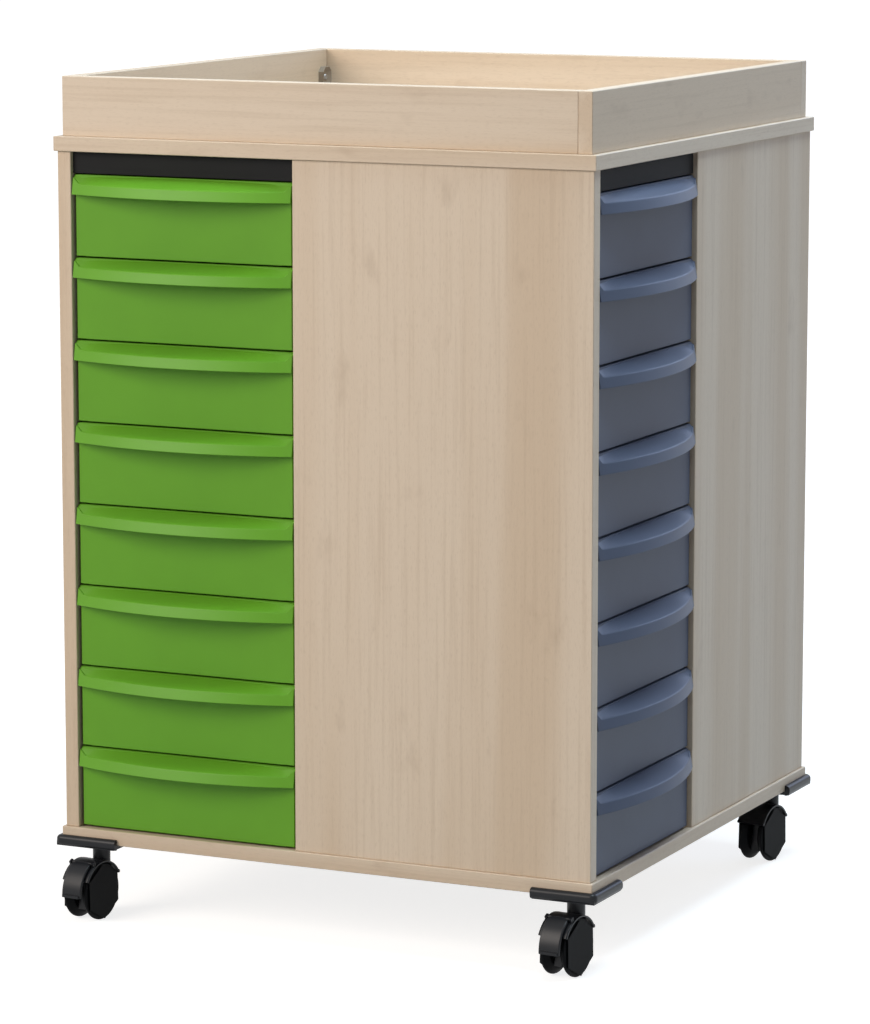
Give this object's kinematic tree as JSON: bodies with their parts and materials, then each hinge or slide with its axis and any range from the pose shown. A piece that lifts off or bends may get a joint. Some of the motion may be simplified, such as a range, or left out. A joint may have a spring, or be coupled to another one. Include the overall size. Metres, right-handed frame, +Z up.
{
  "type": "mobile tray storage unit",
  "caption": "Square wooden classroom storage unit on twin-wheel castors, with a column of slide-out plastic trays in each side and an open gallery on top.",
  "frame": {"origin": "centre of the carcass in plan, on the floor under the castor wheels", "axes": "+Z up, -Y out of the front, where the green trays face the viewer, +X to the right"},
  "size_m": [0.807, 0.8189, 1.107],
  "materials": {
    "board": "satin",
    "strip": "matte",
    "connector": "matte",
    "runner": "matte",
    "green_tray": "satin",
    "grey_tray": "satin",
    "castor_plastic": "matte"
  },
  "bodies": {
    "carcass": {"top_board": "board", "base_board": "board", "panel_front": "board", "panel_right": "board", "panel_back": "board", "panel_left": "board", "inner_partitions": "board", "gallery_ends": "board", "gallery_sides": "board", "fascia_strips": "strip", "gallery_connectors": "connector", "tray_runners": "runner", "corner_plates": "castor_plastic"},
    "tray_front_1": {"tray_front_1": "green_tray"},
    "tray_front_2": {"tray_front_2": "green_tray"},
    "tray_front_3": {"tray_front_3": "green_tray"},
    "tray_front_4": {"tray_front_4": "green_tray"},
    "tray_front_5": {"tray_front_5": "green_tray"},
    "tray_front_6": {"tray_front_6": "green_tray"},
    "tray_front_7": {"tray_front_7": "green_tray"},
    "tray_front_8": {"tray_front_8": "green_tray"},
    "tray_right_1": {"tray_right_1": "grey_tray"},
    "tray_right_2": {"tray_right_2": "grey_tray"},
    "tray_right_3": {"tray_right_3": "grey_tray"},
    "tray_right_4": {"tray_right_4": "grey_tray"},
    "tray_right_5": {"tray_right_5": "grey_tray"},
    "tray_right_6": {"tray_right_6": "grey_tray"},
    "tray_right_7": {"tray_right_7": "grey_tray"},
    "tray_right_8": {"tray_right_8": "grey_tray"},
    "tray_back_1": {"tray_back_1": "green_tray"},
    "tray_back_2": {"tray_back_2": "green_tray"},
    "tray_back_3": {"tray_back_3": "green_tray"},
    "tray_back_4": {"tray_back_4": "green_tray"},
    "tray_back_5": {"tray_back_5": "green_tray"},
    "tray_back_6": {"tray_back_6": "green_tray"},
    "tray_back_7": {"tray_back_7": "green_tray"},
    "tray_back_8": {"tray_back_8": "green_tray"},
    "tray_left_1": {"tray_left_1": "grey_tray"},
    "tray_left_2": {"tray_left_2": "grey_tray"},
    "tray_left_3": {"tray_left_3": "grey_tray"},
    "tray_left_4": {"tray_left_4": "grey_tray"},
    "tray_left_5": {"tray_left_5": "grey_tray"},
    "tray_left_6": {"tray_left_6": "grey_tray"},
    "tray_left_7": {"tray_left_7": "grey_tray"},
    "tray_left_8": {"tray_left_8": "grey_tray"},
    "castor_front_left": {"castor_front_left_housing": "castor_plastic"},
    "castor_front_left_left_wheel": {"castor_front_left_left_wheel": "castor_plastic"},
    "castor_front_left_right_wheel": {"castor_front_left_right_wheel": "castor_plastic"},
    "castor_front_left_brake_lever": {"castor_front_left_brake_lever": "castor_plastic"},
    "castor_front_right": {"castor_front_right_housing": "castor_plastic"},
    "castor_front_right_left_wheel": {"castor_front_right_left_wheel": "castor_plastic"},
    "castor_front_right_right_wheel": {"castor_front_right_right_wheel": "castor_plastic"},
    "castor_front_right_brake_lever": {"castor_front_right_brake_lever": "castor_plastic"},
    "castor_back_left": {"castor_back_left_housing": "castor_plastic"},
    "castor_back_left_left_wheel": {"castor_back_left_left_wheel": "castor_plastic"},
    "castor_back_left_right_wheel": {"castor_back_left_right_wheel": "castor_plastic"},
    "castor_back_right": {"castor_back_right_housing": "castor_plastic"},
    "castor_back_right_left_wheel": {"castor_back_right_left_wheel": "castor_plastic"},
    "castor_back_right_right_wheel": {"castor_back_right_right_wheel": "castor_plastic"}
  },
  "joints": [
    {"name": "tray_front_1_slide", "type": "slide", "parent": "carcass", "child": "tray_front_1", "axis": [0, -1, 0], "range_m": [0, 0.3]},
    {"name": "tray_front_2_slide", "type": "slide", "parent": "carcass", "child": "tray_front_2", "axis": [0, -1, 0], "range_m": [0, 0.3]},
    {"name": "tray_front_3_slide", "type": "slide", "parent": "carcass", "child": "tray_front_3", "axis": [0, -1, 0], "range_m": [0, 0.3]},
    {"name": "tray_front_4_slide", "type": "slide", "parent": "carcass", "child": "tray_front_4", "axis": [0, -1, 0], "range_m": [0, 0.3]},
    {"name": "tray_front_5_slide", "type": "slide", "parent": "carcass", "child": "tray_front_5", "axis": [0, -1, 0], "range_m": [0, 0.3]},
    {"name": "tray_front_6_slide", "type": "slide", "parent": "carcass", "child": "tray_front_6", "axis": [0, -1, 0], "range_m": [0, 0.3]},
    {"name": "tray_front_7_slide", "type": "slide", "parent": "carcass", "child": "tray_front_7", "axis": [0, -1, 0], "range_m": [0, 0.3]},
    {"name": "tray_front_8_slide", "type": "slide", "parent": "carcass", "child": "tray_front_8", "axis": [0, -1, 0], "range_m": [0, 0.3]},
    {"name": "tray_right_1_slide", "type": "slide", "parent": "carcass", "child": "tray_right_1", "axis": [1, 0, 0], "range_m": [0, 0.3]},
    {"name": "tray_right_2_slide", "type": "slide", "parent": "carcass", "child": "tray_right_2", "axis": [1, 0, 0], "range_m": [0, 0.3]},
    {"name": "tray_right_3_slide", "type": "slide", "parent": "carcass", "child": "tray_right_3", "axis": [1, 0, 0], "range_m": [0, 0.3]},
    {"name": "tray_right_4_slide", "type": "slide", "parent": "carcass", "child": "tray_right_4", "axis": [1, 0, 0], "range_m": [0, 0.3]},
    {"name": "tray_right_5_slide", "type": "slide", "parent": "carcass", "child": "tray_right_5", "axis": [1, 0, 0], "range_m": [0, 0.3]},
    {"name": "tray_right_6_slide", "type": "slide", "parent": "carcass", "child": "tray_right_6", "axis": [1, 0, 0], "range_m": [0, 0.3]},
    {"name": "tray_right_7_slide", "type": "slide", "parent": "carcass", "child": "tray_right_7", "axis": [1, 0, 0], "range_m": [0, 0.3]},
    {"name": "tray_right_8_slide", "type": "slide", "parent": "carcass", "child": "tray_right_8", "axis": [1, 0, 0], "range_m": [0, 0.3]},
    {"name": "tray_back_1_slide", "type": "slide", "parent": "carcass", "child": "tray_back_1", "axis": [0, 1, 0], "range_m": [0, 0.3]},
    {"name": "tray_back_2_slide", "type": "slide", "parent": "carcass", "child": "tray_back_2", "axis": [0, 1, 0], "range_m": [0, 0.3]},
    {"name": "tray_back_3_slide", "type": "slide", "parent": "carcass", "child": "tray_back_3", "axis": [0, 1, 0], "range_m": [0, 0.3]},
    {"name": "tray_back_4_slide", "type": "slide", "parent": "carcass", "child": "tray_back_4", "axis": [0, 1, 0], "range_m": [0, 0.3]},
    {"name": "tray_back_5_slide", "type": "slide", "parent": "carcass", "child": "tray_back_5", "axis": [0, 1, 0], "range_m": [0, 0.3]},
    {"name": "tray_back_6_slide", "type": "slide", "parent": "carcass", "child": "tray_back_6", "axis": [0, 1, 0], "range_m": [0, 0.3]},
    {"name": "tray_back_7_slide", "type": "slide", "parent": "carcass", "child": "tray_back_7", "axis": [0, 1, 0], "range_m": [0, 0.3]},
    {"name": "tray_back_8_slide", "type": "slide", "parent": "carcass", "child": "tray_back_8", "axis": [0, 1, 0], "range_m": [0, 0.3]},
    {"name": "tray_left_1_slide", "type": "slide", "parent": "carcass", "child": "tray_left_1", "axis": [-1, 0, 0], "range_m": [0, 0.3]},
    {"name": "tray_left_2_slide", "type": "slide", "parent": "carcass", "child": "tray_left_2", "axis": [-1, 0, 0], "range_m": [0, 0.3]},
    {"name": "tray_left_3_slide", "type": "slide", "parent": "carcass", "child": "tray_left_3", "axis": [-1, 0, 0], "range_m": [0, 0.3]},
    {"name": "tray_left_4_slide", "type": "slide", "parent": "carcass", "child": "tray_left_4", "axis": [-1, 0, 0], "range_m": [0, 0.3]},
    {"name": "tray_left_5_slide", "type": "slide", "parent": "carcass", "child": "tray_left_5", "axis": [-1, 0, 0], "range_m": [0, 0.3]},
    {"name": "tray_left_6_slide", "type": "slide", "parent": "carcass", "child": "tray_left_6", "axis": [-1, 0, 0], "range_m": [0, 0.3]},
    {"name": "tray_left_7_slide", "type": "slide", "parent": "carcass", "child": "tray_left_7", "axis": [-1, 0, 0], "range_m": [0, 0.3]},
    {"name": "tray_left_8_slide", "type": "slide", "parent": "carcass", "child": "tray_left_8", "axis": [-1, 0, 0], "range_m": [0, 0.3]},
    {"name": "castor_front_left_swivel", "type": "hinge", "parent": "carcass", "child": "castor_front_left", "pos_m": [-0.3415, -0.3415, 0.098], "axis": [0, 0, 1], "continuous": true},
    {"name": "castor_front_left_left_wheel_spin", "type": "hinge", "parent": "castor_front_left", "child": "castor_front_left_left_wheel", "pos_m": [-0.35793, -0.36391, 0.0375], "axis": [0.9945, -0.1045, 0], "continuous": true},
    {"name": "castor_front_left_right_wheel_spin", "type": "hinge", "parent": "castor_front_left", "child": "castor_front_left_right_wheel", "pos_m": [-0.33009, -0.36683, 0.0375], "axis": [0.9945, -0.1045, 0], "continuous": true},
    {"name": "castor_front_left_brake_lever_hinge", "type": "hinge", "parent": "castor_front_left", "child": "castor_front_left_brake_lever", "pos_m": [-0.34605, -0.38481, 0.07759], "axis": [-0.9945, 0.1045, 0], "range_deg": [0, 14]},
    {"name": "castor_front_right_swivel", "type": "hinge", "parent": "carcass", "child": "castor_front_right", "pos_m": [0.3415, -0.3415, 0.098], "axis": [0, 0, 1], "continuous": true},
    {"name": "castor_front_right_left_wheel_spin", "type": "hinge", "parent": "castor_front_right", "child": "castor_front_right_left_wheel", "pos_m": [0.32507, -0.36391, 0.0375], "axis": [0.9945, -0.1045, 0], "continuous": true},
    {"name": "castor_front_right_right_wheel_spin", "type": "hinge", "parent": "castor_front_right", "child": "castor_front_right_right_wheel", "pos_m": [0.35291, -0.36683, 0.0375], "axis": [0.9945, -0.1045, 0], "continuous": true},
    {"name": "castor_front_right_brake_lever_hinge", "type": "hinge", "parent": "castor_front_right", "child": "castor_front_right_brake_lever", "pos_m": [0.33695, -0.38481, 0.07759], "axis": [-0.9945, 0.1045, 0], "range_deg": [0, 14]},
    {"name": "castor_back_left_swivel", "type": "hinge", "parent": "carcass", "child": "castor_back_left", "pos_m": [-0.3415, 0.3415, 0.098], "axis": [0, 0, 1], "continuous": true},
    {"name": "castor_back_left_left_wheel_spin", "type": "hinge", "parent": "castor_back_left", "child": "castor_back_left_left_wheel", "pos_m": [-0.35793, 0.31909, 0.0375], "axis": [0.9945, -0.1045, 0], "continuous": true},
    {"name": "castor_back_left_right_wheel_spin", "type": "hinge", "parent": "castor_back_left", "child": "castor_back_left_right_wheel", "pos_m": [-0.33009, 0.31617, 0.0375], "axis": [0.9945, -0.1045, 0], "continuous": true},
    {"name": "castor_back_right_swivel", "type": "hinge", "parent": "carcass", "child": "castor_back_right", "pos_m": [0.3415, 0.3415, 0.098], "axis": [0, 0, 1], "continuous": true},
    {"name": "castor_back_right_left_wheel_spin", "type": "hinge", "parent": "castor_back_right", "child": "castor_back_right_left_wheel", "pos_m": [0.32507, 0.31909, 0.0375], "axis": [0.9945, -0.1045, 0], "continuous": true},
    {"name": "castor_back_right_right_wheel_spin", "type": "hinge", "parent": "castor_back_right", "child": "castor_back_right_right_wheel", "pos_m": [0.35291, 0.31617, 0.0375], "axis": [0.9945, -0.1045, 0], "continuous": true}
  ]
}
